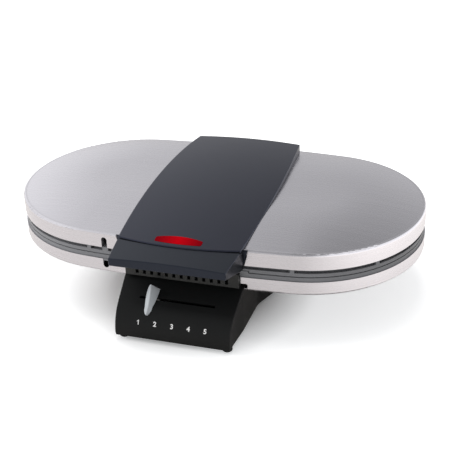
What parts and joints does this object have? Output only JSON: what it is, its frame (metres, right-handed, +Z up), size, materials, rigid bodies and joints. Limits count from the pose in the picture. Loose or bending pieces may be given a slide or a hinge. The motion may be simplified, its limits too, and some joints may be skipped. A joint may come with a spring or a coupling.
{
  "type": "double waffle iron",
  "caption": "Double waffle iron with an oval steel clad body, round heart patterned cavities side by side, an arched cover with front grip and a sliding browning control.",
  "frame": {"origin": "middle of the closed iron's bounding box in plan, on the table under its feet", "axes": "+X to the right along the oval's length, +Y to the rear where the hinge is, +Z up; the control panel and the handle face -Y"},
  "size_m": [0.42, 0.2878, 0.1075],
  "materials": {
    "black_plastic": "fine matt black",
    "foot_rubber": "matt",
    "screw_steel": "zinc plated",
    "shell_steel": "brushed along the length",
    "grey_plastic": "matt grey, heat resistant",
    "coated_aluminium": "die cast, dark non-stick coating",
    "heater_steel": "heat tinted tube",
    "sheet_aluminium": "bright sheet",
    "grille_plastic": "satin black",
    "pin_steel": "bright",
    "thermostat_body": "brown moulding",
    "terminal_plastic": "pale moulding",
    "gland_rubber": "matt",
    "knob_plastic": "pale grey, satin",
    "inner_plastic": "natural moulding",
    "cover_plastic": "satin bluish black",
    "red_lens": "clear red",
    "lamp_glass": "clear",
    "arm_paint": "satin black"
  },
  "bodies": {
    "stand": {"base_housing": "black_plastic", "base_bottom_cover": "black_plastic", "rubber_feet": "foot_rubber", "base_screws": "screw_steel", "lower_shell": "shell_steel", "shell_screws": "screw_steel", "lower_ring": "grey_plastic", "lower_baking_plate": "coated_aluminium", "lower_plate_screws": "screw_steel", "lower_heating_elements": "heater_steel", "lower_reflectors": "sheet_aluminium", "front_grille": "grille_plastic", "hinge_pin": "pin_steel", "thermostat": "thermostat_body", "terminal_block": "terminal_plastic", "thermal_fuse": "pin_steel", "cord_gland": "gland_rubber"},
    "slider": {"slider_knob": "knob_plastic", "slider_carriage": "inner_plastic"},
    "thermostat_lever": {"thermostat_arm": "inner_plastic"},
    "lid": {"upper_shell": "shell_steel", "upper_ring": "grey_plastic", "upper_baking_plate": "coated_aluminium", "upper_plate_screws": "screw_steel", "upper_heating_elements": "heater_steel", "upper_reflectors": "sheet_aluminium", "bridge_cover": "cover_plastic", "bridge_screws": "screw_steel", "handle": "cover_plastic", "handle_screws": "screw_steel", "lamp_lens": "red_lens", "indicator_lamp": "lamp_glass", "lamp_holder": "terminal_plastic", "lid_hinge_arm": "arm_paint", "hinge_backing_plate": "screw_steel", "hinge_arm_screws": "screw_steel"}
  },
  "joints": [
    {"name": "lid_hinge", "type": "hinge", "parent": "stand", "child": "lid", "pos_m": [0, 0.1377, 0.068], "axis": [-1, 0, 0], "range_deg": [0, 100]},
    {"name": "browning_slide", "type": "slide", "parent": "stand", "child": "slider", "axis": [1, 0, 0], "range_m": [-0.0078, 0.06]},
    {"name": "thermostat_turn", "type": "hinge", "parent": "stand", "child": "thermostat_lever", "pos_m": [0, -0.0386, 0.024], "axis": [0, 0, 1], "range_deg": [-5.6, 42]}
  ],
  "couplings": [
    {"joint": "thermostat_turn", "follows": "browning_slide", "rad_per_m": 12.15}
  ]
}
